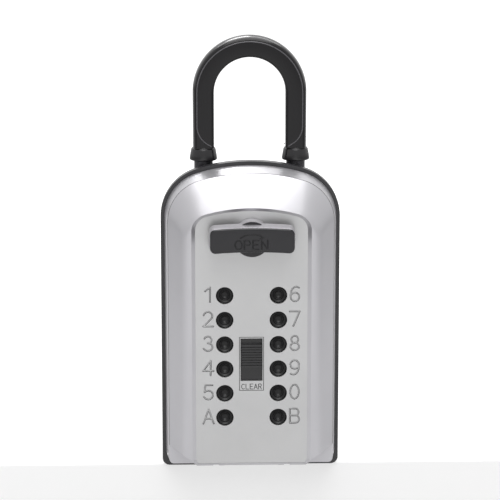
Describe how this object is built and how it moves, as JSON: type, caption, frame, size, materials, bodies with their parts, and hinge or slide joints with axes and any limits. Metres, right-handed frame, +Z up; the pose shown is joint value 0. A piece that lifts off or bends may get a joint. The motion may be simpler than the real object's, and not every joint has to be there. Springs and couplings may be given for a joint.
{
  "type": "key storage box",
  "caption": "Portable key box with a push-button lock: hinged cover, thumb-turn latch, clear slider and a lift-out shackle over a die-cast housing.",
  "frame": {"origin": "on the standing surface, midway between the housing's back and the thumb-turn's face, on the centre plane", "axes": "+X to the right seen from the front, +Y to the back, +Z up to the shackle"},
  "size_m": [0.073, 0.05, 0.1785],
  "materials": {
    "housing": "black, fine texture",
    "cover": "silver, smooth",
    "plate": "satin with dark engraved characters",
    "button": "satin",
    "knob": "satin",
    "slider": "satin",
    "steel": "polished",
    "sleeve": "smooth",
    "collar": "smooth",
    "seal": "matt",
    "nylon": "smooth",
    "zinc": "zinc plated",
    "spring": "drawn wire"
  },
  "bodies": {
    "housing": {"back_housing": "housing", "rim_seal": "seal", "leg_bushes": "nylon", "strike_spring": "spring", "strike_screws": "zinc", "key_hook": "zinc", "hook_screw": "zinc", "bar_screws": "zinc"},
    "lock_bar": {"shackle_lock_bar": "zinc"},
    "shackle": {"shackle_bar": "steel", "shackle_sleeve": "sleeve", "collar_left": "collar", "collar_right": "collar"},
    "cover": {"cover_shell": "cover", "hinge_pins": "steel", "faceplate": "plate", "lock_case": "zinc", "lock_case_screws": "zinc", "guide_plate": "zinc", "case_cover": "zinc", "case_cover_screws": "zinc", "button_springs": "spring", "clear_spring": "spring", "latch_spring": "spring", "knob_spring": "spring"},
    "knob": {"open_knob": "knob", "knob_spindle": "zinc", "crank_disc": "zinc", "spindle_clip": "spring"},
    "latch": {"gate_plate": "zinc", "latch_bolt": "zinc"},
    "clear": {"clear_slider": "slider", "reset_plate": "zinc"},
    "button_1": {"button_1": "button"},
    "button_2": {"button_2": "button"},
    "button_3": {"button_3": "button"},
    "button_4": {"button_4": "button"},
    "button_5": {"button_5": "button"},
    "button_a": {"button_a": "button"},
    "button_6": {"button_6": "button"},
    "button_7": {"button_7": "button"},
    "button_8": {"button_8": "button"},
    "button_9": {"button_9": "button"},
    "button_0": {"button_0": "button"},
    "button_b": {"button_b": "button"}
  },
  "joints": [
    {"name": "cover_swing", "type": "hinge", "parent": "housing", "child": "cover", "pos_m": [0, -0.003, 0.007], "axis": [1, 0, 0], "range_deg": [0, 100], "deforming": ["strike_spring"]},
    {"name": "knob_turn", "type": "hinge", "parent": "cover", "child": "knob", "pos_m": [0, -0.02, 0.1011], "axis": [0, 1, 0], "range_deg": [0, 90], "stiffness_Nm_per_rad": 0.05, "springref_deg": -17.19, "deforming": ["knob_spring"]},
    {"name": "latch_slide", "type": "slide", "parent": "cover", "child": "latch", "axis": [0, 0, -1], "range_m": [0, 0.0051], "deforming": ["latch_spring"]},
    {"name": "clear_slide", "type": "slide", "parent": "cover", "child": "clear", "axis": [0, 0, -1], "range_m": [0, 0.0045], "stiffness_N_per_m": 400, "springref_m": -0.003, "deforming": ["clear_spring"]},
    {"name": "lift_shackle", "type": "slide", "parent": "housing", "child": "shackle", "axis": [0, 0, 1], "range_m": [0, 0.018]},
    {"name": "bar_lock_slide", "type": "slide", "parent": "housing", "child": "lock_bar", "axis": [1, 0, 0], "range_m": [0, 0.0046]},
    {"name": "press_button_1", "type": "slide", "parent": "cover", "child": "button_1", "axis": [0, 1, 0], "range_m": [0, 0.0017], "stiffness_N_per_m": 200, "springref_m": -0.001, "deforming": ["button_springs"]},
    {"name": "press_button_2", "type": "slide", "parent": "cover", "child": "button_2", "axis": [0, 1, 0], "range_m": [0, 0.0017], "stiffness_N_per_m": 200, "springref_m": -0.001, "deforming": ["button_springs"]},
    {"name": "press_button_3", "type": "slide", "parent": "cover", "child": "button_3", "axis": [0, 1, 0], "range_m": [0, 0.0017], "stiffness_N_per_m": 200, "springref_m": -0.001, "deforming": ["button_springs"]},
    {"name": "press_button_4", "type": "slide", "parent": "cover", "child": "button_4", "axis": [0, 1, 0], "range_m": [0, 0.0017], "stiffness_N_per_m": 200, "springref_m": -0.001, "deforming": ["button_springs"]},
    {"name": "press_button_5", "type": "slide", "parent": "cover", "child": "button_5", "axis": [0, 1, 0], "range_m": [0, 0.0017], "stiffness_N_per_m": 200, "springref_m": -0.001, "deforming": ["button_springs"]},
    {"name": "press_button_a", "type": "slide", "parent": "cover", "child": "button_a", "axis": [0, 1, 0], "range_m": [0, 0.0017], "stiffness_N_per_m": 200, "springref_m": -0.001, "deforming": ["button_springs"]},
    {"name": "press_button_6", "type": "slide", "parent": "cover", "child": "button_6", "axis": [0, 1, 0], "range_m": [0, 0.0017], "stiffness_N_per_m": 200, "springref_m": -0.001, "deforming": ["button_springs"]},
    {"name": "press_button_7", "type": "slide", "parent": "cover", "child": "button_7", "axis": [0, 1, 0], "range_m": [0, 0.0017], "stiffness_N_per_m": 200, "springref_m": -0.001, "deforming": ["button_springs"]},
    {"name": "press_button_8", "type": "slide", "parent": "cover", "child": "button_8", "axis": [0, 1, 0], "range_m": [0, 0.0017], "stiffness_N_per_m": 200, "springref_m": -0.001, "deforming": ["button_springs"]},
    {"name": "press_button_9", "type": "slide", "parent": "cover", "child": "button_9", "axis": [0, 1, 0], "range_m": [0, 0.0017], "stiffness_N_per_m": 200, "springref_m": -0.001, "deforming": ["button_springs"]},
    {"name": "press_button_0", "type": "slide", "parent": "cover", "child": "button_0", "axis": [0, 1, 0], "range_m": [0, 0.0017], "stiffness_N_per_m": 200, "springref_m": -0.001, "deforming": ["button_springs"]},
    {"name": "press_button_b", "type": "slide", "parent": "cover", "child": "button_b", "axis": [0, 1, 0], "range_m": [0, 0.0017], "stiffness_N_per_m": 200, "springref_m": -0.001, "deforming": ["button_springs"]}
  ],
  "couplings": [
    {"joint": "latch_slide", "follows": "knob_turn", "m_per_rad": 0.0032411}
  ]
}
